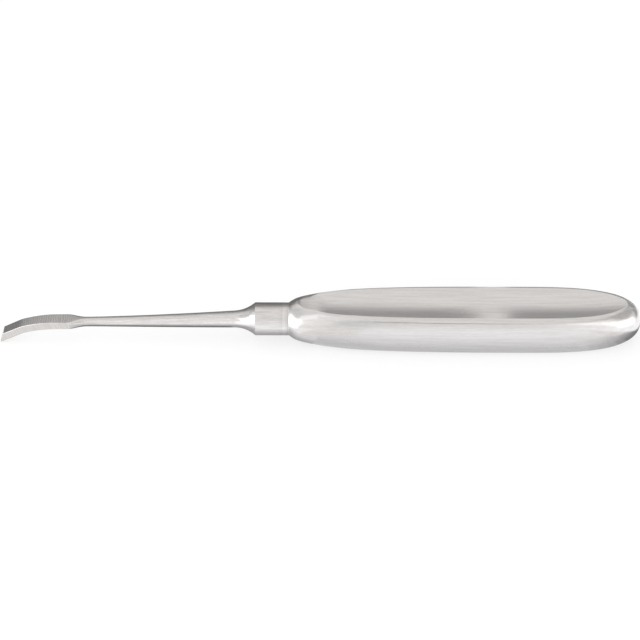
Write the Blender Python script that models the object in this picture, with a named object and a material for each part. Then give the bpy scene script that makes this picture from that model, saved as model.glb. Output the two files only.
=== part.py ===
"""Periosteal elevator: a slim curved blade on a tapered shank, in a hollow dished handle.

The instrument is two pieces. The blade, shank, collar and tang are one steel forging, which
is turned behind the shank. The handle is a hollow shell that is pressed from sheet, with a
dish in each broad face, and the forging's tang is fixed in its mouth.

Each piece is made as its maker makes it: a round blank is spun about the long axis, and its
rings are then forged, bent or pressed to their sections. The pieces are modelled with the
handle's axis on +X and the handle's mouth at x = 0. One empty lays the finished instrument
on its rest, tip down, with the middle of its box over the origin. Lengths are in metres.
"""

import math

import bmesh
import bpy
from mathutils import Vector

MM = 0.001

# Handle
HANDLE_LENGTH = 104.4 * MM
HANDLE_WIDTH = 19.3 * MM
HANDLE_THICKNESS = 12.8 * MM
WIDEST_AT = 62.0 * MM
SWELL_SPREAD = 2.2
SWELL_LEAD = 0.47
SWELL_START = math.tan(math.radians(34))
MOUTH_LAND = 0.25 * MM
SIDE_FULLNESS = 2.6
SIDE_FULL_AT = 28.0 * MM
BUTT_SQUARENESS = 4.0
BUTT_ROUNDNESS = 0.385
HANDLE_WALL = 1.05 * MM

# Dish in each broad face, and the lip that slopes away outside it
DISH_DEPTH = 1.3 * MM
DISH_FADE = 6.0 * MM
RIM_WIDTH = 2.2 * MM
RIM_AT_MOUTH = 6.5 * MM
RIM_AT_BUTT = 4.2 * MM
DISH_MOUTH_CURVE = (2.8, 0.25)
DISH_BUTT_CURVE = (4.4, 0.6)
LIP_DROP = 0.85 * MM
LIP_STARTS_AT = 2.6 * MM
LIP_FULL_AT = 20.0 * MM
LIP_END_ANGLE = math.radians(82)
LIP_WRAP_DROP = 1.65 * MM
LIP_WRAP_LENGTH = 3.0 * MM
LIP_END = 1.6 * MM

# Collar, flare and tang
COLLAR_DIAMETER = 9.8 * MM
COLLAR_LENGTH = 9.4 * MM
FLARE_LENGTH = 6.9 * MM
FLARE_CURVE = 2.3
TANG_LENGTH = 14.0 * MM
TANG_CHAMFER = 1.0 * MM
FIT_GAP = 0.3 * MM

# Shank
SHANK_LENGTH = 42.4 * MM
SHANK_REAR = 4.8 * MM
SHANK_FRONT = 2.75 * MM
SHANK_TAPER = 1.25
SHANK_DROOP = math.radians(2.4)
SHANK_RETURN = math.radians(1.75)

# Blade
HEEL_LENGTH = 7.2 * MM
HEEL_WIDTH = 4.3 * MM
HEEL_THICKNESS = 2.35 * MM
HEEL_STEEPNESS = 1.5
BOW_LENGTH = 12.2 * MM
BOW_STRAIGHT = 2.3 * MM
BOW_ANGLE = math.radians(16.3)
BOW_THICKNESS = 2.5 * MM
TIP_BEND_LENGTH = 1.2 * MM
TIP_BEND_ANGLE = math.radians(10)
TIP_LENGTH = 7.95 * MM
TIP_WIDTH = 3.4 * MM
TIP_THICKNESS = 2.5 * MM
EDGE_ANGLE = math.radians(43)
GRINDING_STOCK = 1.5 * MM
TIP_CORNER = 0.8 * MM

# Roundness of a section: 1 is an ellipse, and 0 a box
ROUND = 1.0
SHANK_ROUNDNESS = 0.88
BLADE_ROUNDNESS = 0.07

# Facets
HANDLE_SIDES = 56
HANDLE_OUTER_RINGS = 28
HANDLE_INNER_RINGS = 9
LIP_SHARE = 6 / 14
DISH_SHARE = 8 / 14
FORGING_SIDES = 32
FLARE_RINGS = 8
SHANK_RINGS = 10
HEEL_RINGS = 7
BOW_RINGS = 12
TIP_RINGS = 4
CORNER_RINGS = 5

FACE_HEIGHT = HANDLE_THICKNESS / 2
COLLAR_RADIUS = COLLAR_DIAMETER / 2
TANG_RADIUS = COLLAR_RADIUS - HANDLE_WALL - FIT_GAP


def smooth(share):
    """An eased step from 0 to 1."""
    share = min(max(share, 0.0), 1.0)
    return share * share * (3 - 2 * share)


def mixed(first, last, share):
    return first + (last - first) * share


def clear_scene():
    for obj in list(bpy.data.objects):
        bpy.data.objects.remove(obj, do_unlink=True)


def steel(name, colour, roughness):
    material = bpy.data.materials.new(name)
    material.use_nodes = True
    shader = material.node_tree.nodes["Principled BSDF"]
    shader.inputs["Base Color"].default_value = (*colour, 1.0)
    shader.inputs["Metallic"].default_value = 1.0
    shader.inputs["Roughness"].default_value = roughness
    return material


def spun_blank(bm, profile, sides):
    """Turns a profile of (x, radius) points about the X axis."""
    points = [bm.verts.new((x, radius, 0.0)) for x, radius in profile]
    edges = [bm.edges.new(pair) for pair in zip(points, points[1:])]
    bmesh.ops.spin(
        bm,
        geom=points + edges,
        cent=(0, 0, 0),
        axis=(1, 0, 0),
        angle=math.tau,
        steps=sides,
        use_merge=True,
    )
    bmesh.ops.remove_doubles(bm, verts=bm.verts, dist=1e-7)


def finished_object(name, bm, material):
    bmesh.ops.recalc_face_normals(bm, faces=bm.faces)
    mesh = bpy.data.meshes.new(name)
    bm.to_mesh(mesh)
    bm.free()
    mesh.shade_smooth()
    mesh.set_sharp_from_angle(angle=math.radians(30))
    mesh.materials.append(material)
    obj = bpy.data.objects.new(name, mesh)
    bpy.context.scene.collection.objects.link(obj)
    return obj


# Handle


def swell(x):
    """How far the handle has swollen at x: it starts as a cone and goes over into a curve."""
    if x <= MOUTH_LAND:
        return 0.0
    cone = (x - MOUTH_LAND) * SWELL_START / (HANDLE_WIDTH / 2 - COLLAR_RADIUS)
    curve = (1 - (1 - x / WIDEST_AT) ** SWELL_SPREAD) ** SWELL_LEAD
    return cone * curve / (cone**6 + curve**6) ** (1 / 6)


def outline(x, inset):
    """The handle's half width at x, for its outside or for a surface that lies inset from it."""
    widest = HANDLE_WIDTH / 2 - inset
    if x < WIDEST_AT:
        return mixed(COLLAR_RADIUS - inset, widest, swell(x))
    share = min((x - WIDEST_AT) / (HANDLE_LENGTH - inset - WIDEST_AT), 1.0)
    return widest * (1 - share**BUTT_SQUARENESS) ** BUTT_ROUNDNESS


def dish_reach(x):
    """How wide the dish is at x, as a share of its greatest width."""
    if x < WIDEST_AT:
        share = (WIDEST_AT - x) / (WIDEST_AT - RIM_AT_MOUTH)
        power, root = DISH_MOUTH_CURVE
    else:
        share = (x - WIDEST_AT) / (HANDLE_LENGTH - RIM_AT_BUTT - WIDEST_AT)
        power, root = DISH_BUTT_CURVE
    return (1 - share**power) ** root if share < 1 else 0.0


def dish_depth(x):
    """How deep the dish is at x."""
    return DISH_DEPTH * dish_reach(x) ** 2 * smooth((x - RIM_AT_MOUTH) / DISH_FADE)


def side_power(x):
    """How full the sides of the section at x are: 2 is round, and more is fuller."""
    ends = smooth(x / SIDE_FULL_AT) * smooth((HANDLE_LENGTH - x) / SIDE_FULL_AT)
    return 2 + (SIDE_FULLNESS - 2) * ends


def lip_height(x):
    """The height of the lip's outer edge, which comes down further where it wraps the butt."""
    drop = LIP_DROP * smooth((x - LIP_STARTS_AT) / (LIP_FULL_AT - LIP_STARTS_AT)) ** 0.5
    wrapped = 1 - (HANDLE_LENGTH - LIP_END - x) / LIP_WRAP_LENGTH
    return FACE_HEIGHT - mixed(drop, LIP_WRAP_DROP, smooth(wrapped))


def face_height(x):
    """The height of the broad face, which slopes down with the lip behind the dish."""
    behind_dish = (x - (HANDLE_LENGTH - RIM_AT_BUTT)) / (RIM_AT_BUTT - LIP_END)
    return FACE_HEIGHT - LIP_WRAP_DROP * min(max(behind_dish, 0.0), 1.0)


def handle_section(x, turn, inset):
    """The point (y, z) of the handle's section at x that the blank's angle, turn, comes to."""
    radius = outline(x, inset)
    face = face_height(x) - inset
    share = math.asin(min(abs(math.sin(turn)), 1.0)) / (math.pi / 2)
    power = side_power(x)
    steepness = min((lip_height(x) - inset) / radius, 1.0) ** (power / 2)
    lip_angle = min(math.asin(steepness), LIP_END_ANGLE)
    if share <= LIP_SHARE:
        angle = lip_angle * share / LIP_SHARE
        y = radius * math.cos(angle) ** (2 / power)
        z = radius * math.sin(angle) ** (2 / power)
    else:
        lip_y = radius * math.cos(lip_angle) ** (2 / power)
        lip_z = radius * math.sin(lip_angle) ** (2 / power)
        dish_y = (HANDLE_WIDTH / 2 - RIM_WIDTH) * dish_reach(x) - inset / 2
        edge_y = min((dish_y**6 + (lip_y * 0.62) ** 6) ** (1 / 6), lip_y * 0.97)
        if share <= DISH_SHARE:
            across = (share - LIP_SHARE) / (DISH_SHARE - LIP_SHARE)
            y = mixed(lip_y, edge_y, across)
            z = mixed(lip_z, face, across)
        else:
            y = edge_y * (1 - share) / (1 - DISH_SHARE)
            z = face
            if y < dish_y:
                z -= dish_depth(x) * (1 - (y / dish_y) ** 2)
        z = min(z, (radius**power - y**power) ** (1 / power))
    return math.copysign(y, math.cos(turn)), math.copysign(z, math.sin(turn))


def handle_profile(inset, rings):
    """One surface's profile from mouth to butt, with its points closer together at both."""
    quarter = math.pi / 2
    reach = HANDLE_LENGTH - inset - WIDEST_AT
    places = [WIDEST_AT * (1 - math.cos(quarter * i / rings)) for i in range(rings)]
    places += [WIDEST_AT + reach * math.sin(quarter * i / rings) for i in range(rings + 1)]
    return [(x, outline(x, inset)) for x in places]


def make_handle(material):
    """A shell, spun in one with its cavity and then pressed ring by ring to its sections."""
    bm = bmesh.new()
    outside = handle_profile(0.0, HANDLE_OUTER_RINGS)
    cavity = handle_profile(HANDLE_WALL, HANDLE_INNER_RINGS)
    spun_blank(bm, outside[::-1] + cavity, HANDLE_SIDES)
    for vert in bm.verts:
        x, y, z = vert.co
        radius = math.hypot(y, z)
        inset = 0.0 if radius > outline(x, 0.0) - HANDLE_WALL / 2 else HANDLE_WALL
        if radius > 1e-6:
            vert.co.yz = handle_section(x, math.atan2(z, y), inset)
    return finished_object("handle", bm, material)


# Forging


def runs():
    """The forging's length from the collar's rear face to the tip, as (length, turn) runs."""
    return (
        (COLLAR_LENGTH, 0.0),
        (FLARE_LENGTH, SHANK_DROOP),
        (SHANK_LENGTH, -SHANK_RETURN),
        (HEEL_LENGTH + BOW_STRAIGHT, 0.0),
        (BOW_LENGTH - BOW_STRAIGHT, BOW_ANGLE),
        (TIP_BEND_LENGTH, TIP_BEND_ANGLE),
        (TIP_LENGTH, 0.0),
        (GRINDING_STOCK, 0.0),
    )


def centre_line(along):
    """The point (x, z) of the forging's bent centre line at a length along it, and its slope."""
    x, z, slope = -FIT_GAP, 0.0, 0.0
    for length, turn in runs():
        step = max(min(along, length), 0.0)
        if turn:
            radius = length / turn
            after = slope + step / radius
            x -= radius * (math.sin(after) - math.sin(slope))
            z -= radius * (math.cos(slope) - math.cos(after))
            slope = after
        else:
            x -= step * math.cos(slope)
            z -= step * math.sin(slope)
        along -= step
    return x, z, slope


def forging_section(along):
    """Half width, half height and roundness of the forging at a length along it."""
    past = along - COLLAR_LENGTH
    if past <= 0:
        return COLLAR_RADIUS, COLLAR_RADIUS, ROUND
    if past <= FLARE_LENGTH:
        share = past / FLARE_LENGTH
        radius = mixed(SHANK_REAR / 2, COLLAR_RADIUS, (1 - share) ** FLARE_CURVE)
        return radius, radius, mixed(ROUND, SHANK_ROUNDNESS, smooth(share))
    past -= FLARE_LENGTH
    if past <= SHANK_LENGTH:
        share = 1 - (1 - past / SHANK_LENGTH) ** SHANK_TAPER
        radius = mixed(SHANK_REAR, SHANK_FRONT, share) / 2
        return radius, radius, SHANK_ROUNDNESS
    past -= SHANK_LENGTH
    if past <= HEEL_LENGTH:
        share = smooth(past / HEEL_LENGTH)
        widened = smooth((past / HEEL_LENGTH - 0.5) * HEEL_STEEPNESS + 0.5)
        return (
            mixed(SHANK_FRONT, HEEL_WIDTH, widened) / 2,
            mixed(SHANK_FRONT, HEEL_THICKNESS, share) / 2,
            mixed(SHANK_ROUNDNESS, BLADE_ROUNDNESS, share),
        )
    past -= HEEL_LENGTH
    blade = BOW_LENGTH + TIP_BEND_LENGTH + TIP_LENGTH
    width = mixed(HEEL_WIDTH, TIP_WIDTH, past / blade)
    if past <= BOW_LENGTH:
        thickness = mixed(HEEL_THICKNESS, BOW_THICKNESS, smooth(2 * past / BOW_LENGTH))
    else:
        share = (past - BOW_LENGTH) / (blade - BOW_LENGTH)
        thickness = mixed(BOW_THICKNESS, TIP_THICKNESS, share)
    into_corner = min(max(past - blade + TIP_CORNER, 0.0), TIP_CORNER)
    rounded_off = TIP_CORNER - math.sqrt(TIP_CORNER**2 - into_corner**2)
    return width / 2 - rounded_off, thickness / 2, BLADE_ROUNDNESS


def forged_point(along, turn):
    """Where the blank's point at a length along it and at an angle comes to."""
    half_width, half_height, roundness = forging_section(along)
    y = half_width * math.copysign(abs(math.cos(turn)) ** roundness, math.cos(turn))
    up = half_height * math.copysign(abs(math.sin(turn)) ** roundness, math.sin(turn))
    x, z, slope = centre_line(along)
    return Vector((x - up * math.sin(slope), y, z + up * math.cos(slope)))


def forging_stations():
    """Places of the rings along the forging, from the collar's rear edge to past the tip."""
    lengths = (
        (COLLAR_LENGTH, 1),
        (FLARE_LENGTH, FLARE_RINGS),
        (SHANK_LENGTH, SHANK_RINGS),
        (HEEL_LENGTH, HEEL_RINGS),
        (BOW_LENGTH, BOW_RINGS),
        (TIP_BEND_LENGTH, TIP_RINGS),
        (TIP_LENGTH - TIP_CORNER, TIP_RINGS),
        (TIP_CORNER, CORNER_RINGS),
        (GRINDING_STOCK, 1),
    )
    stations = [0.0]
    for length, rings in lengths:
        start = stations[-1]
        stations += [start + length * i / rings for i in range(1, rings + 1)]
    return stations


def grind_edge(bm):
    """Cuts the tip to its bevel, which meets the blade's underside in the cutting edge."""
    finished = sum(length for length, turn in runs()) - GRINDING_STOCK
    edge = forged_point(finished, -math.pi / 2)
    slope = centre_line(finished)[2]
    bevel = slope + EDGE_ANGLE
    cut = bmesh.ops.bisect_plane(
        bm,
        geom=bm.verts[:] + bm.edges[:] + bm.faces[:],
        plane_co=edge,
        plane_no=(-math.sin(bevel), 0.0, math.cos(bevel)),
        clear_outer=True,
    )
    rim = [item for item in cut["geom_cut"] if isinstance(item, bmesh.types.BMEdge)]
    bmesh.ops.contextual_create(bm, geom=rim)


def make_forging(material):
    """Blade, shank, flare, collar and tang in one piece."""
    bm = bmesh.new()
    tang_end = FIT_GAP + TANG_LENGTH
    profile = [
        (tang_end, 0.0),
        (tang_end, TANG_RADIUS - TANG_CHAMFER),
        (tang_end - TANG_CHAMFER, TANG_RADIUS),
        (0.0, TANG_RADIUS),
    ]
    profile += [(-along, COLLAR_RADIUS) for along in forging_stations()]
    spun_blank(bm, profile, FORGING_SIDES)
    for vert in bm.verts:
        x, y, z = vert.co
        turned_behind = math.hypot(y, z) < COLLAR_RADIUS - MM * 0.01
        if turned_behind:
            vert.co.x -= FIT_GAP
        else:
            vert.co = forged_point(-x, math.atan2(z, y))
    grind_edge(bm)
    return finished_object("blade_shank", bm, material)


def lay_down(handle, forging):
    """Rests the instrument on its tip and on the part of its handle that comes down first."""
    handle_corners = [vert.co for vert in handle.data.vertices]
    corners = handle_corners + [vert.co for vert in forging.data.vertices]
    tip = min((co for co in corners if co.x < 0), key=lambda co: co.z)
    tilt = min(math.atan2(co.z - tip.z, co.x - tip.x) for co in handle_corners)
    rest = bpy.data.objects.new("rest", None)
    bpy.context.scene.collection.objects.link(rest)
    rest.rotation_euler.y = tilt
    turn = rest.rotation_euler.to_matrix()
    laid = [turn @ co for co in corners]
    ends = [co.x for co in laid]
    rest.location = (-(min(ends) + max(ends)) / 2, 0.0, -min(co.z for co in laid))
    for piece in (handle, forging):
        piece.parent = rest


clear_scene()
satin_steel = steel("satin_steel", (0.62, 0.61, 0.59), 0.34)
ground_steel = steel("ground_steel", (0.60, 0.59, 0.58), 0.24)
handle = make_handle(satin_steel)
blade_shank = make_forging(ground_steel)
lay_down(handle, blade_shank)
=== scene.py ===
# %% [markdown]
# # A periosteal elevator in satin steel
#
# A surgeon lifts the skin of a bone away with this tool. It is one forged steel rod with a
# small curved blade, set in the mouth of a hollow handle that is pressed from sheet. The
# imported model already holds both solids in their places, so the first step loads it.
# Everything after that is drawn in the same metres and on the same axes.

# %% Load the imported model
import math

import bmesh
import bpy
from mathutils import Matrix, Vector


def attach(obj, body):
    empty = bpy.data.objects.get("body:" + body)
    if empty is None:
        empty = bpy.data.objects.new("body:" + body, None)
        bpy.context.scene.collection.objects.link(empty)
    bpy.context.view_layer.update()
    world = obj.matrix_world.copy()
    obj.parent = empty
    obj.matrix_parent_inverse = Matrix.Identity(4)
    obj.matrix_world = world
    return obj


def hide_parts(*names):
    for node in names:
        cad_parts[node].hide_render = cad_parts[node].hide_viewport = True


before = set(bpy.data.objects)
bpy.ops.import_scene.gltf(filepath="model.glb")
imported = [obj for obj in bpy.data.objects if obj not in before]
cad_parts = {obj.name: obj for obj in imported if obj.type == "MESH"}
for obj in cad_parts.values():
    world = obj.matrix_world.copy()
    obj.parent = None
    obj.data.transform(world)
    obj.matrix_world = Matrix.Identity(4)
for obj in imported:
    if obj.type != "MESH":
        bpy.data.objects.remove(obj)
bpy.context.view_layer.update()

MM = 0.001

# %% [markdown]
# ## Measures of the handle
#
# The handle starts as wide as the collar, swells to a long oval and closes in a blunt butt.
# Each broad face has a shallow dish, and outside the dish a lip slopes away to the rounded
# side. These few lengths say all of that, in the same values as the solid underneath, so
# the fine surface lies exactly on it.

# %% Handle measures
HANDLE_LENGTH = 104.4 * MM
HANDLE_WIDTH = 19.3 * MM
FACE_HEIGHT = 6.4 * MM
WIDEST_AT = 62.0 * MM
SWELL_SPREAD = 2.2
SWELL_LEAD = 0.47
SWELL_START = math.tan(math.radians(34))
MOUTH_LAND = 0.25 * MM
SIDE_FULLNESS = 2.6
SIDE_FULL_AT = 28.0 * MM
BUTT_SQUARENESS = 4.0
BUTT_ROUNDNESS = 0.385
HANDLE_WALL = 1.05 * MM

DISH_DEPTH = 1.3 * MM
DISH_FADE = 6.0 * MM
RIM_WIDTH = 2.2 * MM
RIM_AT_MOUTH = 6.5 * MM
RIM_AT_BUTT = 4.2 * MM
DISH_MOUTH_CURVE = (2.8, 0.25)
DISH_BUTT_CURVE = (4.4, 0.6)
LIP_DROP = 0.85 * MM
LIP_STARTS_AT = 2.6 * MM
LIP_FULL_AT = 20.0 * MM
LIP_END_ANGLE = math.radians(82)
LIP_WRAP_DROP = 1.65 * MM
LIP_WRAP_LENGTH = 3.0 * MM
LIP_END = 1.6 * MM
COLLAR_RADIUS = 4.9 * MM

# %% [markdown]
# ## How the handle is shaped
#
# A box with a bevel would never give a section that changes all the way along. The maker
# presses a round tube, and the same idea works here: spin a round blank about the long
# axis with the Spin operator, then press each of its rings to the section that belongs
# there. The functions in this cell describe the sections. `outline` is the half width
# seen from above, `dish_reach` says how wide the dish is, and `lip_height` follows the
# lip's outer edge, which falls away from the mouth and wraps down round the butt.


# %% Handle outline
def smooth(share):
    """An eased step from 0 to 1."""
    share = min(max(share, 0.0), 1.0)
    return share * share * (3 - 2 * share)


def mixed(first, last, share):
    return first + (last - first) * share


def soft_larger(one, other):
    """The larger of two lengths, with a rounded change where they are alike."""
    return (one**6 + other**6) ** (1 / 6)


def swell(x):
    """How far the handle has swollen at x: it starts as a cone and goes over into a curve."""
    if x <= MOUTH_LAND:
        return 0.0
    cone = (x - MOUTH_LAND) * SWELL_START / (HANDLE_WIDTH / 2 - COLLAR_RADIUS)
    curve = (1 - (1 - x / WIDEST_AT) ** SWELL_SPREAD) ** SWELL_LEAD
    return cone * curve / soft_larger(cone, curve)


def outline(x, inset=0.0):
    """The handle's half width at x, or that of a surface inset from the outside."""
    widest = HANDLE_WIDTH / 2 - inset
    if x < WIDEST_AT:
        return mixed(COLLAR_RADIUS - inset, widest, swell(x))
    share = min((x - WIDEST_AT) / (HANDLE_LENGTH - inset - WIDEST_AT), 1.0)
    return widest * (1 - share**BUTT_SQUARENESS) ** BUTT_ROUNDNESS


def dish_reach(x):
    """How wide the dish is at x, as a share of its greatest width."""
    if x < WIDEST_AT:
        share = (WIDEST_AT - x) / (WIDEST_AT - RIM_AT_MOUTH)
        power, root = DISH_MOUTH_CURVE
    else:
        share = (x - WIDEST_AT) / (HANDLE_LENGTH - RIM_AT_BUTT - WIDEST_AT)
        power, root = DISH_BUTT_CURVE
    return (1 - share**power) ** root if share < 1 else 0.0


def dish_depth(x):
    """How deep the dish is at x."""
    return DISH_DEPTH * dish_reach(x) ** 2 * smooth((x - RIM_AT_MOUTH) / DISH_FADE)


def side_power(x):
    """How full the sides of the section at x are: 2 is round, and more is fuller."""
    ends = smooth(x / SIDE_FULL_AT) * smooth((HANDLE_LENGTH - x) / SIDE_FULL_AT)
    return 2 + (SIDE_FULLNESS - 2) * ends


def lip_height(x):
    """The height of the lip's outer edge, which comes down further where it wraps the butt."""
    drop = LIP_DROP * smooth((x - LIP_STARTS_AT) / (LIP_FULL_AT - LIP_STARTS_AT)) ** 0.5
    wrapped = 1 - (HANDLE_LENGTH - LIP_END - x) / LIP_WRAP_LENGTH
    return FACE_HEIGHT - mixed(drop, LIP_WRAP_DROP, smooth(wrapped))


def face_height(x):
    """The height of the broad face, which slopes down with the lip behind the dish."""
    behind_dish = (x - (HANDLE_LENGTH - RIM_AT_BUTT)) / (RIM_AT_BUTT - LIP_END)
    return FACE_HEIGHT - LIP_WRAP_DROP * min(max(behind_dish, 0.0), 1.0)


for place in (5, 20, 62, 90, 102):
    print(f"handle at {place} mm: half width {outline(place * MM) / MM:.2f} mm, "
          f"lip {lip_height(place * MM) / MM:.2f} mm high")

# %% [markdown]
# ## One section of the handle
#
# A ring of the blank is a circle, and each of its points is known by its angle. From the
# side up to the lip a point keeps to an oval that is round at both ends of the handle and
# fuller along the middle. From there it crosses the lip in a straight line, and inside the
# dish's edge it follows a shallow parabola. The belt wears the crest between lip and dish,
# so a worn section is a little lower there. The mesh lines of the lip and of the dish's
# edge always come from the same share of the ring, so both run as clean lines of the mesh.

# %% Press one point of a ring
LIP_SHARE = 6 / 14
DISH_SHARE = 8 / 14
DISH_EDGE_LEAST = 0.62
DISH_EDGE_MOST = 0.97
CREST_WEAR = 0.17 * MM
CREST_REACH = 0.7 * MM
CREST_STARTS_AT = 8.0 * MM


def handle_section(x, turn, inset, worn=False):
    """The point (y, z) of the handle's section at x that the blank's angle comes to."""
    radius = outline(x, inset)
    face = face_height(x) - inset
    share = math.asin(min(abs(math.sin(turn)), 1.0)) / (math.pi / 2)
    power = side_power(x)
    steepness = min((lip_height(x) - inset) / radius, 1.0) ** (power / 2)
    lip_angle = min(math.asin(steepness), LIP_END_ANGLE)
    if share <= LIP_SHARE:
        angle = lip_angle * share / LIP_SHARE
        y = radius * math.cos(angle) ** (2 / power)
        z = radius * math.sin(angle) ** (2 / power)
    else:
        lip_y = radius * math.cos(lip_angle) ** (2 / power)
        lip_z = radius * math.sin(lip_angle) ** (2 / power)
        dish_y = (HANDLE_WIDTH / 2 - RIM_WIDTH) * dish_reach(x) - inset / 2
        edge_y = min(soft_larger(dish_y, lip_y * DISH_EDGE_LEAST), lip_y * DISH_EDGE_MOST)
        if share <= DISH_SHARE:
            across = (share - LIP_SHARE) / (DISH_SHARE - LIP_SHARE)
            y = mixed(lip_y, edge_y, across)
            z = mixed(lip_z, face, across)
        else:
            y = edge_y * (1 - share) / (1 - DISH_SHARE)
            z = face
            if y < dish_y:
                z -= dish_depth(x) * (1 - (y / dish_y) ** 2)
        z = min(z, (radius**power - y**power) ** (1 / power))
        if worn:
            near = max(1 - abs(y - edge_y) / min(CREST_REACH, lip_y - edge_y), 0.0)
            z -= CREST_WEAR * near**2 * smooth(x / CREST_STARTS_AT - 1)
    return math.copysign(y, math.cos(turn)), math.copysign(z, math.sin(turn))


# %% [markdown]
# ## Spin and press the handle
#
# The profile runs from the butt over the outside to the mouth and back along the cavity,
# so one spin gives a closed shell with a real wall. Rings are closer together at both
# ends, where the outline turns fastest. After the spin the doubled points on the axis are
# merged, the rings are pressed, and the normals are recalculated, because a spin can turn
# a shape inside out.


# %% Blank and profile
MERGE_WITHIN = 1e-7


def spun_blank(bm, profile, sides):
    """Turns a profile of (x, radius) points about the X axis."""
    points = [bm.verts.new((x, radius, 0.0)) for x, radius in profile]
    edges = [bm.edges.new(pair) for pair in zip(points, points[1:])]
    bmesh.ops.spin(
        bm,
        geom=points + edges,
        cent=(0, 0, 0),
        axis=(1, 0, 0),
        angle=math.tau,
        steps=sides,
        use_merge=True,
    )
    bmesh.ops.remove_doubles(bm, verts=bm.verts, dist=MERGE_WITHIN)


def handle_profile(inset, rings):
    """One surface's profile from mouth to butt, with its points closer together at both."""
    quarter = math.pi / 2
    reach = HANDLE_LENGTH - inset - WIDEST_AT
    places = [WIDEST_AT * (1 - math.cos(quarter * i / rings)) for i in range(rings)]
    places += [WIDEST_AT + reach * math.sin(quarter * i / rings) for i in range(rings + 1)]
    return [(x, outline(x, inset)) for x in places]


# %% Spin and press the handle
HANDLE_SIDES = 168
HANDLE_OUTER_RINGS = 120
HANDLE_INNER_RINGS = 16
ON_AXIS = 1e-6
SAME_SHARE = 1e-3

handle_bm = bmesh.new()
outer_profile = handle_profile(0.0, HANDLE_OUTER_RINGS)
cavity_profile = handle_profile(HANDLE_WALL, HANDLE_INNER_RINGS)
spun_blank(handle_bm, outer_profile[::-1] + cavity_profile, HANDLE_SIDES)
handle_points = []
crease_lines = {LIP_SHARE: set(), DISH_SHARE: set()}
for vert in handle_bm.verts:
    x, y, z = vert.co
    radius = math.hypot(y, z)
    inset = 0.0 if radius > outline(x) - HANDLE_WALL / 2 else HANDLE_WALL
    if radius > ON_AXIS:
        turn = math.atan2(z, y)
        share = math.asin(abs(math.sin(turn))) / (math.pi / 2)
        for line, points in crease_lines.items():
            if inset == 0 and abs(share - line) < SAME_SHARE:
                points.add(vert)
        handle_points.append(Vector((x, *handle_section(x, turn, inset))))
        vert.co.yz = handle_section(x, turn, inset, worn=inset == 0)
print("handle:", len(handle_bm.verts), "points,", len(handle_bm.faces), "faces")

# %% [markdown]
# ## Soften the creases
#
# A belt never leaves an edge quite sharp, and a sharp edge catches no light. The two lines
# of the lip get a narrow bevel with three segments. Where the lip runs out at the mouth and
# wraps the butt, the presses leave no crease at all, so the points there are smoothed.

# %% Smooth the ends and bevel the lip
CREASE_FROM = 8.5 * MM
CREASE_TO = HANDLE_LENGTH - 3.2 * MM
CREASE_ROUNDING = 0.14 * MM
SOFT_FROM = 1.4 * MM
SOFT_TO = HANDLE_LENGTH - 0.8 * MM
SOFT_HALF_WIDTH = 6.0 * MM
SOFT_DEPTH = 2.0 * MM


def soften(lowest, highest, times):
    """Smooths both broad faces between two places along the handle, and counts the points."""
    points = [
        vert
        for vert in handle_bm.verts
        if lowest < vert.co.x < highest
        and abs(vert.co.y) < SOFT_HALF_WIDTH
        and abs(vert.co.z) > FACE_HEIGHT - SOFT_DEPTH
        and abs(vert.co.z) > outline(vert.co.x) / 2
    ]
    for _ in range(times):
        bmesh.ops.smooth_vert(
            handle_bm,
            verts=points,
            factor=0.5,
            use_axis_x=True,
            use_axis_y=True,
            use_axis_z=True,
        )
    return len(points)


def on_crease(item):
    """True for an edge that lies on one of the two lines, between their ends."""
    inside = all(CREASE_FROM < vert.co.x < CREASE_TO for vert in item.verts)
    return inside and any(set(item.verts) <= points for points in crease_lines.values())


moved = soften(SOFT_FROM, CREASE_FROM, times=12) + soften(CREASE_TO, SOFT_TO, times=4)
lines = [item for item in handle_bm.edges if on_crease(item)]
bmesh.ops.bevel(
    handle_bm,
    geom=lines,
    offset=CREASE_ROUNDING,
    offset_type="OFFSET",
    segments=3,
    profile=0.5,
    affect="EDGES",
    clamp_overlap=True,
    material=-1,
)
print("smoothed", moved, "points and bevelled", len(lines), "edges")

# %% [markdown]
# ## Measures of the forging
#
# Blade, heel, shank, flare, collar and tang are one forging. The round part is turned on a
# lathe after forging, and the blade is bent and ground. Its length is given as a chain of
# short runs from the collar to the tip, each with the angle that it bends through.

# %% Forging measures
COLLAR_LENGTH = 9.66 * MM
FLARE_LENGTH = 6.9 * MM
FLARE_CURVE = 2.3
TANG_LENGTH = 14.0 * MM
TANG_CHAMFER = 1.0 * MM
TANG_RADIUS = 3.55 * MM
SEAT = 0.04 * MM

SHANK_LENGTH = 42.4 * MM
SHANK_REAR = 4.8 * MM
SHANK_FRONT = 2.75 * MM
SHANK_TAPER = 1.25
SHANK_DROOP = math.radians(2.4)
SHANK_RETURN = math.radians(1.75)

HEEL_LENGTH = 7.2 * MM
HEEL_WIDTH = 4.3 * MM
HEEL_THICKNESS = 2.35 * MM
HEEL_STEEPNESS = 1.5
BOW_LENGTH = 12.2 * MM
BOW_STRAIGHT = 2.3 * MM
BOW_ANGLE = math.radians(16.3)
BOW_THICKNESS = 2.5 * MM
TIP_BEND_LENGTH = 1.2 * MM
TIP_BEND_ANGLE = math.radians(10)
TIP_LENGTH = 7.95 * MM
TIP_WIDTH = 3.4 * MM
TIP_THICKNESS = 2.5 * MM
EDGE_ANGLE = math.radians(43)
GRINDING_STOCK = 1.5 * MM
TIP_CORNER = 0.8 * MM

ROUND = 1.0
SHANK_ROUNDNESS = 0.88
BLADE_ROUNDNESS = 0.07

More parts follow.
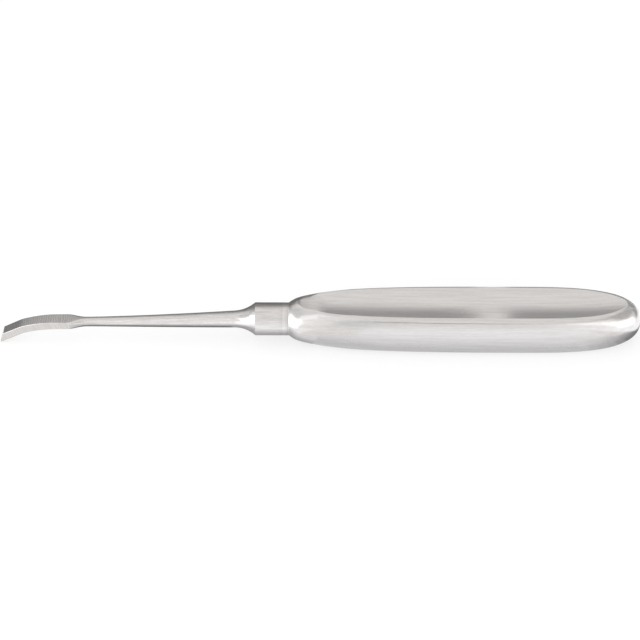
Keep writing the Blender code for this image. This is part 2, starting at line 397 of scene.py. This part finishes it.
runs = (
    (COLLAR_LENGTH, 0.0),
    (FLARE_LENGTH, SHANK_DROOP),
    (SHANK_LENGTH, -SHANK_RETURN),
    (HEEL_LENGTH + BOW_STRAIGHT, 0.0),
    (BOW_LENGTH - BOW_STRAIGHT, BOW_ANGLE),
    (TIP_BEND_LENGTH, TIP_BEND_ANGLE),
    (TIP_LENGTH, 0.0),
    (GRINDING_STOCK, 0.0),
)
print(f"forging: {sum(length for length, turn in runs[:-1]) / MM:.1f} mm from collar to edge")

# %% [markdown]
# ## Bend and forge a round blank
#
# The forging is made the same way as the handle. `centre_line` walks along the runs and
# gives the point and slope of the bent middle line. `forging_section` gives the half width,
# half height and roundness of the section: 1 is an ellipse and 0 a box, so a value in
# between lets the round shank melt into the square blade with no seam.


# %% Forging functions
def centre_line(along):
    """The point (x, z) of the bent centre line at a length along it, and its slope."""
    x, z, slope = -SEAT, 0.0, 0.0
    for length, turn in runs:
        step = max(min(along, length), 0.0)
        if turn:
            radius = length / turn
            after = slope + step / radius
            x -= radius * (math.sin(after) - math.sin(slope))
            z -= radius * (math.cos(slope) - math.cos(after))
            slope = after
        else:
            x -= step * math.cos(slope)
            z -= step * math.sin(slope)
        along -= step
    return x, z, slope


def forging_section(along):
    """Half width, half height and roundness of the forging at a length along it."""
    past = along - COLLAR_LENGTH
    if past <= 0:
        return COLLAR_RADIUS, COLLAR_RADIUS, ROUND
    if past <= FLARE_LENGTH:
        share = past / FLARE_LENGTH
        radius = mixed(SHANK_REAR / 2, COLLAR_RADIUS, (1 - share) ** FLARE_CURVE)
        return radius, radius, mixed(ROUND, SHANK_ROUNDNESS, smooth(share))
    past -= FLARE_LENGTH
    if past <= SHANK_LENGTH:
        share = 1 - (1 - past / SHANK_LENGTH) ** SHANK_TAPER
        radius = mixed(SHANK_REAR, SHANK_FRONT, share) / 2
        return radius, radius, SHANK_ROUNDNESS
    past -= SHANK_LENGTH
    if past <= HEEL_LENGTH:
        share = smooth(past / HEEL_LENGTH)
        widened = smooth((past / HEEL_LENGTH - 0.5) * HEEL_STEEPNESS + 0.5)
        return (
            mixed(SHANK_FRONT, HEEL_WIDTH, widened) / 2,
            mixed(SHANK_FRONT, HEEL_THICKNESS, share) / 2,
            mixed(SHANK_ROUNDNESS, BLADE_ROUNDNESS, share),
        )
    past -= HEEL_LENGTH
    blade = BOW_LENGTH + TIP_BEND_LENGTH + TIP_LENGTH
    width = mixed(HEEL_WIDTH, TIP_WIDTH, past / blade)
    if past <= BOW_LENGTH:
        thickness = mixed(HEEL_THICKNESS, BOW_THICKNESS, smooth(2 * past / BOW_LENGTH))
    else:
        share = (past - BOW_LENGTH) / (blade - BOW_LENGTH)
        thickness = mixed(BOW_THICKNESS, TIP_THICKNESS, share)
    into_corner = min(max(past - blade + TIP_CORNER, 0.0), TIP_CORNER)
    rounded_off = TIP_CORNER - math.sqrt(TIP_CORNER**2 - into_corner**2)
    return width / 2 - rounded_off, thickness / 2, BLADE_ROUNDNESS


def forged_point(along, turn):
    """Where the blank's point at a length along it and at an angle comes to."""
    half_width, half_height, roundness = forging_section(along)
    y = half_width * math.copysign(abs(math.cos(turn)) ** roundness, math.cos(turn))
    up = half_height * math.copysign(abs(math.sin(turn)) ** roundness, math.sin(turn))
    x, z, slope = centre_line(along)
    return Vector((x - up * math.sin(slope), y, z + up * math.cos(slope)))


# %% [markdown]
# ## Spin, forge and grind the blade
#
# The blank is spun with its rings where the shape changes most, and each point then moves
# to its forged place. The tip is left a little too long, as a smith leaves it, and one
# Bisect Plane grinds it to the bevel. The hole that the cut leaves is filled by one face.

# %% Spin and forge the blade
FORGING_SIDES = 96
forging_rings = (
    (COLLAR_LENGTH, 12),
    (FLARE_LENGTH, 28),
    (SHANK_LENGTH, 40),
    (HEEL_LENGTH, 30),
    (BOW_LENGTH, 60),
    (TIP_BEND_LENGTH, 12),
    (TIP_LENGTH - TIP_CORNER, 16),
    (TIP_CORNER, 12),
    (GRINDING_STOCK, 1),
)
NOT_COLLAR = 0.01 * MM

stations = [0.0]
for length, rings in forging_rings:
    start = stations[-1]
    stations += [start + length * i / rings for i in range(1, rings + 1)]

forging_bm = bmesh.new()
tang_end = SEAT + TANG_LENGTH
forging_profile = [
    (tang_end, 0.0),
    (tang_end, TANG_RADIUS - TANG_CHAMFER),
    (tang_end - TANG_CHAMFER, TANG_RADIUS),
    (0.0, TANG_RADIUS),
] + [(-along, COLLAR_RADIUS) for along in stations]
spun_blank(forging_bm, forging_profile, FORGING_SIDES)
for vert in forging_bm.verts:
    x, y, z = vert.co
    if math.hypot(y, z) < COLLAR_RADIUS - NOT_COLLAR:
        vert.co.x -= SEAT
    else:
        vert.co = forged_point(-x, math.atan2(z, y))
print("forging:", len(forging_bm.verts), "points after", len(stations), "rings")

# %% Grind the bevel
finished = sum(length for length, turn in runs) - GRINDING_STOCK
edge = forged_point(finished, -math.pi / 2)
bevel = centre_line(finished)[2] + EDGE_ANGLE
ground = bmesh.ops.bisect_plane(
    forging_bm,
    geom=forging_bm.verts[:] + forging_bm.edges[:] + forging_bm.faces[:],
    plane_co=edge,
    plane_no=(-math.sin(bevel), 0.0, math.cos(bevel)),
    clear_outer=True,
)
rim = [item for item in ground["geom_cut"] if isinstance(item, bmesh.types.BMEdge)]
bmesh.ops.contextual_create(forging_bm, geom=rim)
print("bevel:", len(rim), "edges round the ground face")

# %% [markdown]
# ## Lay the instrument down
#
# Both pieces are still level, as they came off the bench. On a table the instrument rocks
# forward until its tip and the rear of its handle touch. The turn that does this is the
# smallest angle from the tip to any point of the handle. It is applied to the meshes
# themselves, so both objects stay at the origin, unturned and unscaled.

# %% Rest angle
all_points = handle_points + [vert.co.copy() for vert in forging_bm.verts]
tip = min((co for co in all_points if co.x < 0), key=lambda co: co.z)
tilt = min(math.atan2(co.z - tip.z, co.x - tip.x) for co in handle_points)
turned = Matrix.Rotation(tilt, 4, "Y")
laid = [turned @ co for co in all_points]
ends = [co.x for co in laid]
down = Vector((-(min(ends) + max(ends)) / 2, 0.0, -min(co.z for co in laid)))
lay = Matrix.Translation(down) @ turned
print(f"tilt {math.degrees(tilt):.3f} degrees, moved {[round(v / MM, 3) for v in down]} mm")

# %% Finished objects
SHARP_ANGLE = math.radians(24)


def finished_object(name, bm):
    """Lays a mesh on the table and makes it a smooth-shaded object."""
    bmesh.ops.recalc_face_normals(bm, faces=bm.faces)
    bmesh.ops.transform(bm, matrix=lay, verts=bm.verts)
    mesh = bpy.data.meshes.new(name)
    bm.to_mesh(mesh)
    bm.free()
    mesh.shade_smooth()
    mesh.set_sharp_from_angle(angle=SHARP_ANGLE)
    obj = bpy.data.objects.new(name, mesh)
    bpy.context.scene.collection.objects.link(obj)
    return obj


hollow_handle = finished_object("hollow_handle", handle_bm)
forged_blade = finished_object("forged_blade", forging_bm)
print("objects:", hollow_handle.name, "and", forged_blade.name)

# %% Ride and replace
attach(hollow_handle, "root")
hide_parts("handle")
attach(forged_blade, "root")
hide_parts("blade_shank")

# %% [markdown]
# ## A small language for shaders
#
# A material is a graph of nodes, and a graph is easier to read as a formula. `Wire` wraps
# an output socket, and each operator on it adds a Math node. Every other node comes from
# `Graph.add`, which takes the node's type, its settings and its sockets.


# %% Wire and Graph
class Wire:
    """An output socket that can be used in a formula."""

    def __init__(self, graph, socket):
        self.graph = graph
        self.socket = socket

    def __add__(self, other):
        return self.graph.math("ADD", self, other)

    def __sub__(self, other):
        return self.graph.math("SUBTRACT", self, other)

    def __rsub__(self, other):
        return self.graph.math("SUBTRACT", other, self)

    def __mul__(self, other):
        return self.graph.math("MULTIPLY", self, other)

    __radd__ = __add__
    __rmul__ = __mul__


class Graph:
    """A node tree that nodes are added to one call at a time."""

    def __init__(self, tree):
        self.tree = tree
        tree.nodes.clear()

    def add(self, kind, settings=None, sockets=None, out=0):
        """A new node of this type, with its settings made before its sockets are filled."""
        node = self.tree.nodes.new(kind)
        for name, value in (settings or {}).items():
            setattr(node, name, value)
        for name, value in (sockets or {}).items():
            if isinstance(value, Wire):
                self.tree.links.new(value.socket, node.inputs[name])
            else:
                node.inputs[name].default_value = value
        return Wire(self, node.outputs[out]) if node.outputs else node

    def math(self, operation, *values):
        return self.add("ShaderNodeMath", {"operation": operation}, dict(enumerate(values)))


# %% Patterns that both steels use
def object_place(graph):
    return graph.add("ShaderNodeTexCoord", out="Object")


def stretched_noise(graph, place, scale, detail, roughness):
    """Noise with its own scale along each axis, in cells per metre."""
    mapped = graph.add("ShaderNodeMapping", {}, {"Vector": place, "Scale": scale})
    settings = {"noise_dimensions": "3D"}
    sockets = {"Vector": mapped, "Scale": 1.0, "Detail": detail, "Roughness": roughness}
    return graph.add("ShaderNodeTexNoise", settings, sockets, out="Fac")


def eased(graph, value, low, high):
    """0 below low and 1 above high, with an eased step between."""
    sockets = {"Value": value, "From Min": low, "From Max": high}
    return graph.add("ShaderNodeMapRange", {"interpolation_type": "SMOOTHSTEP"}, sockets)


def tinted(graph, share, dark, light):
    """A colour between two, by a value from 0 to 1."""
    sockets = {"Factor": share, "A": (*dark, 1.0), "B": (*light, 1.0)}
    return graph.add("ShaderNodeMix", {"data_type": "RGBA"}, sockets, out="Result")


# %% [markdown]
# ## Satin steel of the handle
#
# The handle is brushed along its length on a belt. From arm's length the brushing can't be
# seen line by line: it shows as a reflection that is drawn out across the lines and stays
# crisp along them. A fine noise stretched along X does that through a Bump node. A coarser
# noise of short dashes is the uneven grain that the belt leaves, and long streaks tint the
# steel a little. Large soft clouds make it a bit rougher where hands have worn it. Each
# pattern is given as its cells per metre along X, Y and Z, its detail and its roughness.

# %% Handle material
BRUSHING = ((150, 5200, 5200), 2.0, 0.6)
HANDLE_DASHES = ((650, 2600, 2600), 3.0, 0.65)
HANDLE_STREAKS = ((70, 1500, 1500), 2.0, 0.5)
WORN_CLOUDS = ((40, 160, 160), 2.0, 0.5)
WORN_RANGE = (0.35, 0.7)
GRAIN_RANGE = (0.3, 0.7)
HANDLE_DARK = (0.622, 0.6, 0.586)
HANDLE_LIGHT = (0.688, 0.664, 0.648)
BUMP_DISTANCE = 0.01 * MM
HANDLE_BUMP = 0.55


def steel(material, graph, colour, roughness, height, strength):
    """Ends a steel material in a metallic shader with a bump."""
    sockets = {"Strength": strength, "Distance": BUMP_DISTANCE, "Height": height}
    bump = graph.add("ShaderNodeBump", {}, sockets)
    sockets = {"Base Color": colour, "Metallic": 1.0, "Roughness": roughness, "Normal": bump}
    shader = graph.add("ShaderNodeBsdfPrincipled", {}, sockets)
    graph.add("ShaderNodeOutputMaterial", {}, {"Surface": shader})
    print("material:", material.name, "with", len(material.node_tree.nodes), "nodes")
    return material


def satin_handle():
    material = bpy.data.materials.new("satin_handle")
    material.use_nodes = True
    graph = Graph(material.node_tree)
    place = object_place(graph)
    brushing = stretched_noise(graph, place, *BRUSHING)
    dashes = stretched_noise(graph, place, *HANDLE_DASHES)
    streaks = stretched_noise(graph, place, *HANDLE_STREAKS)
    worn = eased(graph, stretched_noise(graph, place, *WORN_CLOUDS), *WORN_RANGE)
    grain = eased(graph, streaks * 0.6 + dashes * 0.4, *GRAIN_RANGE)
    colour = tinted(graph, grain, HANDLE_DARK, HANDLE_LIGHT)
    roughness = 0.17 + 0.08 * brushing + 0.06 * worn
    height = brushing * 0.65 + dashes * 0.35
    return steel(material, graph, colour, roughness, height, HANDLE_BUMP)


hollow_handle.data.materials.append(satin_handle())

# %% [markdown]
# ## Ground and turned steel of the forging
#
# The same steel is finished in three ways along the forging. The collar is turned, so fine
# rings run round it, and they are plainest next to the handle's mouth. The shank is polished
# lengthwise. The blade is ground flat, with faint ribs that lean across it. One material
# blends the three by the place along X.

# %% Where each finish of the forging lies
BLADE_ENDS = (-76 * MM, -70 * MM)
COLLAR_BEGINS = (-19.5 * MM, -18.5 * MM)
MOUTH_NEAR = (-12.5 * MM, -11.2 * MM)

# %% Forging material
TURNED_RINGS = ((2600, 60, 60), 1.0, 0.5)
DRAWN_LINES = ((160, 5000, 5000), 2.0, 0.6)
FORGING_DASHES = ((700, 2400, 2400), 3.0, 0.65)
FORGING_STREAKS = ((170, 2100, 2100), 2.0, 0.5)
GRINDING = ((3600, 300, 260), 1.0, 0.5)
SCRATCHES = ((2300, 240, 240), 2.0, 0.6)
RIB_LEAN = math.radians(28)
RIB_SCALE = 500.0
RIB_DISTORTION = 4.0
FORGING_DARK = (0.602, 0.581, 0.567)
FORGING_LIGHT = (0.703, 0.678, 0.662)
FORGING_BUMP = 0.4


def forged_steel():
    material = bpy.data.materials.new("forged_steel")
    material.use_nodes = True
    graph = Graph(material.node_tree)
    place = object_place(graph)
    along = graph.add("ShaderNodeSeparateXYZ", {}, {"Vector": place}, out="X")
    on_blade = 1 - eased(graph, along, *BLADE_ENDS)
    on_collar = eased(graph, along, *COLLAR_BEGINS)
    at_mouth = eased(graph, along, *MOUTH_NEAR)
    rings = stretched_noise(graph, place, *TURNED_RINGS)
    drawn = stretched_noise(graph, place, *DRAWN_LINES)
    dashes = stretched_noise(graph, place, *FORGING_DASHES)
    streaks = stretched_noise(graph, place, *FORGING_STREAKS)
    leaning = graph.add(
        "ShaderNodeMapping", {}, {"Vector": place, "Rotation": (0.0, RIB_LEAN, 0.0)}
    )
    grinding = stretched_noise(graph, leaning, *GRINDING)
    scratches = stretched_noise(graph, leaning, *SCRATCHES)
    ribs = graph.add(
        "ShaderNodeTexWave",
        {"wave_type": "BANDS", "bands_direction": "X"},
        {"Vector": leaning, "Scale": RIB_SCALE, "Distortion": RIB_DISTORTION, "Detail": 1.0},
        out="Fac",
    )
    lengthwise = (1 - on_blade) * (1 - on_collar)
    height = lengthwise * drawn + on_collar * (rings * 0.5 + dashes * 0.5) + on_blade * grinding
    grain = (1 - on_blade) * (streaks * 0.75 + dashes * 0.25 + at_mouth * (rings - 0.5) * 0.6)
    grain = grain + on_blade * (scratches * 0.7 + ribs * 0.3)
    colour = tinted(graph, eased(graph, grain, *GRAIN_RANGE), FORGING_DARK, FORGING_LIGHT)
    roughness = 0.2 + 0.1 * height
    return steel(material, graph, colour, roughness, height, FORGING_BUMP)


forged_blade.data.materials.append(forged_steel())

# %% [markdown]
# ## A white room
#
# Polished metal has no look of its own: it shows what stands round it. A plain white world
# gives the steel its pale grey. The Light Path node makes the world full white for the eye
# and for the steel, while the light that it sheds stays a little lower.

# %% White world
ROOM_LIGHT = 0.85


def seen_by_eye(graph):
    """1 for rays from the camera and for those that steel or glass sends on, and 0 for light."""
    rays = graph.add("ShaderNodeLightPath").socket.node
    eye = Wire(graph, rays.outputs["Is Camera Ray"])
    for name in ("Is Glossy Ray", "Is Transmission Ray"):
        eye = graph.math("MAXIMUM", eye, Wire(graph, rays.outputs[name]))
    return eye


world = bpy.data.worlds.new("white_room")
bpy.context.scene.world = world
world.use_nodes = True
sky = Graph(world.node_tree)
strength = ROOM_LIGHT + (1 - ROOM_LIGHT) * seen_by_eye(sky)
background = sky.add("ShaderNodeBackground", {}, {"Color": (1, 1, 1, 1), "Strength": strength})
sky.add("ShaderNodeOutputWorld", {}, {"Surface": background})
print("world:", world.name, "with light", ROOM_LIGHT)

# %% [markdown]
# ## The table
#
# The instrument lies on a white sheet. A matt part takes the soft shadow, and a glow that
# only the eye sees lifts the sheet to white without putting more light on the steel. The
# same helper makes this sheet and all the cards after it: a grid, scaled and put in place.


# %% Stage sheets
def stage_sheet(name, width, depth, matrix):
    """A flat sheet made by Create Grid and put in its place."""
    bm = bmesh.new()
    bmesh.ops.create_grid(bm, x_segments=1, y_segments=1, size=0.5)
    bmesh.ops.scale(bm, vec=(width, depth, 1.0), verts=bm.verts)
    bmesh.ops.transform(bm, matrix=matrix, verts=bm.verts)
    mesh = bpy.data.meshes.new(name)
    bm.to_mesh(mesh)
    bm.free()
    sheet = bpy.data.objects.new(name, mesh)
    bpy.context.scene.collection.objects.link(sheet)
    return sheet


# %% Pale table
TABLE_SIZE = 8.0
TABLE_HEIGHT = -0.2 * MM
TABLE_DIFFUSE = 0.42
TABLE_GLOW = 0.64

table = stage_sheet("table", TABLE_SIZE, TABLE_SIZE, Matrix.Translation((0, 0, TABLE_HEIGHT)))
paper = bpy.data.materials.new("pale_table")
paper.use_nodes = True
top = Graph(paper.node_tree)
matt = top.add("ShaderNodeBsdfDiffuse", {}, {"Color": (TABLE_DIFFUSE,) * 3 + (1.0,)})
glow = top.add("ShaderNodeEmission", {}, {"Strength": TABLE_GLOW * seen_by_eye(top)})
both = top.add("ShaderNodeAddShader", {}, {0: matt, 1: glow})
top.add("ShaderNodeOutputMaterial", {}, {"Surface": both})
table.data.materials.append(paper)
print("table:", TABLE_SIZE, "m wide, its top at", TABLE_HEIGHT / MM, "mm")

# %% [markdown]
# ## Cards that the steel shows
#
# A photographer shapes a shiny thing with cards, dark ones and bright ones, that stand just
# outside the picture. Here each card glows in one tone, where 1 is the white of the room,
# and only the steel can see it. Cards under the handle and before it are a touch cooler than
# those behind it. Upright cards stand across the view, side cards face along the instrument,
# and flat ones lie on the table. All their lengths are in millimetres.

# %% One card
FRONT_TINT = (0.982, 0.997, 1.022)
PLAIN_TINT = (1.0, 1.0, 1.0)
FRONT_LIMIT = 10 * MM


def card(name, width, depth, matrix, tone, painted_shade_tone=None, fade=(0.0, 1.0)):
    """A card that only the steel can see, in one tone or with painted shade fading outward from
    its middle line.
    """
    sheet = stage_sheet(name, width, depth, matrix)
    material = bpy.data.materials.new(name)
    material.use_nodes = True
    graph = Graph(material.node_tree)
    tint = FRONT_TINT if matrix.translation.y < FRONT_LIMIT else PLAIN_TINT
    shade = (*(tone * part for part in tint), 1.0)
    if painted_shade_tone is not None:
        across = graph.add("ShaderNodeSeparateXYZ", {}, {"Vector": object_place(graph)}, out="Y")
        outward = eased(graph, graph.math("ABSOLUTE", across), *fade)
        shade = tinted(graph, outward, [painted_shade_tone * part for part in tint], shade[:3])
    sockets = {"Base Color": (0, 0, 0, 1), "Specular IOR Level": 0.0, "Roughness": 1.0}
    sockets.update({"Emission Color": shade, "Emission Strength": 1.0})
    shader = graph.add("ShaderNodeBsdfPrincipled", {}, sockets)
    graph.add("ShaderNodeOutputMaterial", {}, {"Surface": shader})
    sheet.data.materials.append(material)
    sheet.visible_camera = False
    sheet.visible_shadow = False
    sheet.visible_diffuse = False
    return sheet


# %% Cards that stand and lie
FLAT_HEIGHT = 0.4


def upright_card(name, left, right, bottom, top, y, tone):
    left, right, bottom, top, y = (length * MM for length in (left, right, bottom, top, y))
    middle = Matrix.Translation(((left + right) / 2, y, (bottom + top) / 2))
    upright = middle @ Matrix.Rotation(math.pi / 2, 4, "X")
    return card(name, right - left, top - bottom, upright, tone)


def side_card(name, x, near, far, bottom, top, tone):
    x, near, far, bottom, top = (length * MM for length in (x, near, far, bottom, top))
    middle = Matrix.Translation((x, (near + far) / 2, (bottom + top) / 2))
    upright = middle @ Matrix.Rotation(math.pi / 2, 4, "Y")
    return card(name, top - bottom, far - near, upright, tone)


def flat_card(name, left, right, near, far, tone, painted_shade=(None, 0, 1), height=FLAT_HEIGHT):
    """A flat card. Its painted shade is the darker tone of its middle line and where it starts
    and ends.
    """
    painted_shade_tone, *fade = painted_shade
    left, right, near, far, height = (v * MM for v in (left, right, near, far, height))
    middle = Matrix.Translation(((left + right) / 2, (near + far) / 2, height))
    return card(name, right - left, far - near, middle, tone, painted_shade_tone, [v * MM for v in fade])


# %% [markdown]
# ## Cards behind
#
# These draw the dark band along the dish and the thin dark line along the top of the
# outline. Each is made of bands that get lighter with height, so the band in the dish ends
# softly. Between two of them a gap lets the white room in, which breaks the dish's dark band
# as in the picture.

# %% Cards behind
BEHIND = 70
GAP_LEFT = 53
GAP_RIGHT = 63
DISH_BANDS = ((44, 0.42), (52, 0.52), (60, 0.68), (70, 0.85))
COLLAR_BANDS = ((30, 0.2), (75, 0.26), (100, 0.4), (130, 0.6), (180, 0.78), (250, 0.9))
BLADE_BANDS = ((44, 0.23), (72, 0.52), (95, 0.75))
BACK_CARDS = (
    ("card_right", GAP_RIGHT, 400, DISH_BANDS),
    ("card_middle", -8, GAP_LEFT, DISH_BANDS),
    ("card_collar", -26, -8, COLLAR_BANDS),
    ("card_blade", -400, -26, BLADE_BANDS),
)
for name, left, right, bands in BACK_CARDS:
    bottom = 0
    for number, (height, tone) in enumerate(bands):
        upright_card(f"{name}_{number}", left, right, bottom, height, BEHIND, tone)
        bottom = height
print("cards behind:", sum(len(bands) for *ends, bands in BACK_CARDS))

# %% [markdown]
# ## Cards in front and on the table
#
# The near side of the handle shows the table before it, made brighter by cards that paint the
# lamps' glare on it as painted light. The lowest edge shows dark cards right under the steel:
# painted shade, standing in for the instrument's shadow on the table. The butt turns away step
# by step, so this painted shade under it gets darker in steps too. A dark card in front draws
# the thin line below the lip, and brighter ones make the collar and the shoulder gleam.

# %% Cards in front
FRONT_CARDS = (
    ("card_front", 5, 92, 75, 230, -250, 0.35),
    ("card_front_right", 92, 300, 0, 70, -250, 1.15),
    ("front_of_collar", -27, -13, 0, 310, -250, 1.38),
    ("front_of_mouth", -10, 15, 7, 42, -60, 0.88),
    ("above_front", -250, -110, 190, 420, -250, 1.5),
)
for name, *measures in FRONT_CARDS:
    upright_card(name, *measures)

# %% Cards on the table
FLOOR_TONE = 1.06
FLAT_CARDS = (
    ("flat_left", -400, GAP_LEFT - 4, 18.5, BEHIND, 0.2),
    ("flat_right", GAP_RIGHT - 4, 300, 18.5, BEHIND, 0.2),
    # The next four cards carry painted shade, darkest on the middle line: the instrument's
    # shadow on the table.
    ("under_shank", -74, -26, -12, 12, FLOOR_TONE, (0.25, 3, 12)),
    ("under_collar", -26, -2, -12, 12, FLOOR_TONE, (0.5, 3, 12)),
    ("under_handle", -2, 77, -18, 18, FLOOR_TONE, (0.78, 9, 18)),
    ("by_butt", 92, 101, -14, 14, 0.68, (0.28, 4, 14)),
    # The next four cards glow brighter than the room's white: painted light, the lamps' glare on
    # the table.
    ("before_collar", -20, -9.5, -60, -13, 1.3),
    ("before_handle", 10, 90, -70, -18.5, 1.19),
    ("before_shank", -66, -20, -50, -13, 1.3),
    ("bright_table", 101, 500, -300, 60, 1.4),
)
for name, *measures in FLAT_CARDS:
    flat_card(name, *measures)

BUTT_FROM = 77
BUTT_STEP = 3
# The tone at both ends of each step, and the darker painted shade on its middle line under the
# butt.
BUTT_TONES = ((0.98, 0.7), (0.93, 0.62), (0.94, 0.58), (0.88, 0.52), (0.8, 0.43))
for number, (tone, painted_shade_tone) in enumerate(BUTT_TONES):
    left = BUTT_FROM + BUTT_STEP * number
    flat_card(f"to_butt_{number}", left, left + BUTT_STEP, -16, 16, tone, (painted_shade_tone, 5, 16))
print("cards on the table:", len(FLAT_CARDS) + len(BUTT_TONES))

# %% [markdown]
# ## Cards at the sides and above
#
# The flare, the shoulder and the butt lean away from the view, so they show what stands to
# the left and right. A small bright card beside the flare whitens it, and one beside the tip
# lights the blade's ridge. A large card above takes the glare off the lip.

# %% Cards at the sides and above
SIDE_CARDS = (
    ("side_left", -600, -500, 250, 360, 1200, 0.82),
    ("side_left_middle", -600, 250, 420, 120, 500, 0.55),
    ("side_left_behind", -600, 420, 1000, 50, 410, 0.26),
    ("beside_tip", -105, -55, -2, 0.5, 55, 3.0),
    ("beside_flare", -25.4, -32, -7, 2, 8, 2.2),
    ("side_right", 600, -500, 600, 210, 1000, 0.6),
)
for name, *measures in SIDE_CARDS:
    side_card(name, *measures)
flat_card("over_lip", 35, 135, 0, 100, 0.88, height=300)
print("cards at the sides:", len(SIDE_CARDS))

# %% [markdown]
# ## Lamps
#
# A soft lamp low on each side whitens the flare, the shoulder and the butt, as two softboxes
# would. A third, faint one from the front left evens out the near side. Their brightness is
# given against the white of the room, so the steel's colour stays about as it is written.


# %% Lamps
def soft_lamp(name, place, target, width, height, brightness):
    """An area lamp that faces its target. Brightness 1 doubles the white of the room."""
    lamp = bpy.data.lights.new(name, "AREA")
    lamp.shape = "RECTANGLE"
    lamp.size = width
    lamp.size_y = height
    lamp.energy = brightness * math.pi * width * height
    holder = bpy.data.objects.new(name, lamp)
    holder.location = place
    holder.rotation_euler = (Vector(target) - Vector(place)).to_track_quat("-Z", "Y").to_euler()
    bpy.context.scene.collection.objects.link(holder)
    return holder


LAMPS = (
    ("lamp_left", (-0.42, -0.22, 0.1), (0, 0, 0.01), 0.5, 0.29, 2.0),
    ("lamp_right", (0.39, -0.27, 0.05), (0, 0, 0.03), 0.6, 0.2, 1.6),
    ("lamp_front", (-0.27, -0.6, 0.2), (-0.05, 0, 0.01), 0.5, 0.4, 0.16),
)
for name, *measures in LAMPS:
    print(f"{name}: {soft_lamp(name, *measures).data.energy:.2f} W")

# %% [markdown]
# ## Camera
#
# The picture looks down on the handle's broad face from about forty degrees, square to its
# length, through a long lens. The distance fixes how much the near side grows, and the
# lens then follows from the width of the view. The Standard view transform shows the tones
# as they are, so white stays white.

# %% Camera
VIEW_ELEVATION = math.radians(39.3)
VIEW_DISTANCE = 0.6
VIEW_WIDTH = 189.8 * MM
VIEW_ROLL = math.radians(-0.2)
VIEW_DROP = 0.3 * MM
VIEW_CENTRE = 9.49 * MM
NEAREST_SEEN = 10 * MM
SENSOR = 36.0

towards = Vector((0.0, -math.cos(VIEW_ELEVATION), math.sin(VIEW_ELEVATION)))
upwards = Vector((0.0, math.sin(VIEW_ELEVATION), math.cos(VIEW_ELEVATION)))
aim = lay @ Vector((VIEW_CENTRE, 0.0, 0.0)) - upwards * VIEW_DROP
camera = bpy.data.objects.new("camera", bpy.data.cameras.new("camera"))
camera.data.sensor_width = SENSOR
camera.data.lens = SENSOR * VIEW_DISTANCE / VIEW_WIDTH
camera.data.clip_start = NEAREST_SEEN
camera.location = aim + towards * VIEW_DISTANCE
facing = (-towards).to_track_quat("-Z", "Y").to_matrix() @ Matrix.Rotation(VIEW_ROLL, 3, "Z")
camera.rotation_euler = facing.to_euler()
bpy.context.scene.collection.objects.link(camera)
bpy.context.scene.camera = camera
bpy.context.scene.view_settings.view_transform = "Standard"
print(f"lens {camera.data.lens:.1f} mm at {VIEW_DISTANCE:.2f} m")

# %% Update the view layer
bpy.context.view_layer.update()
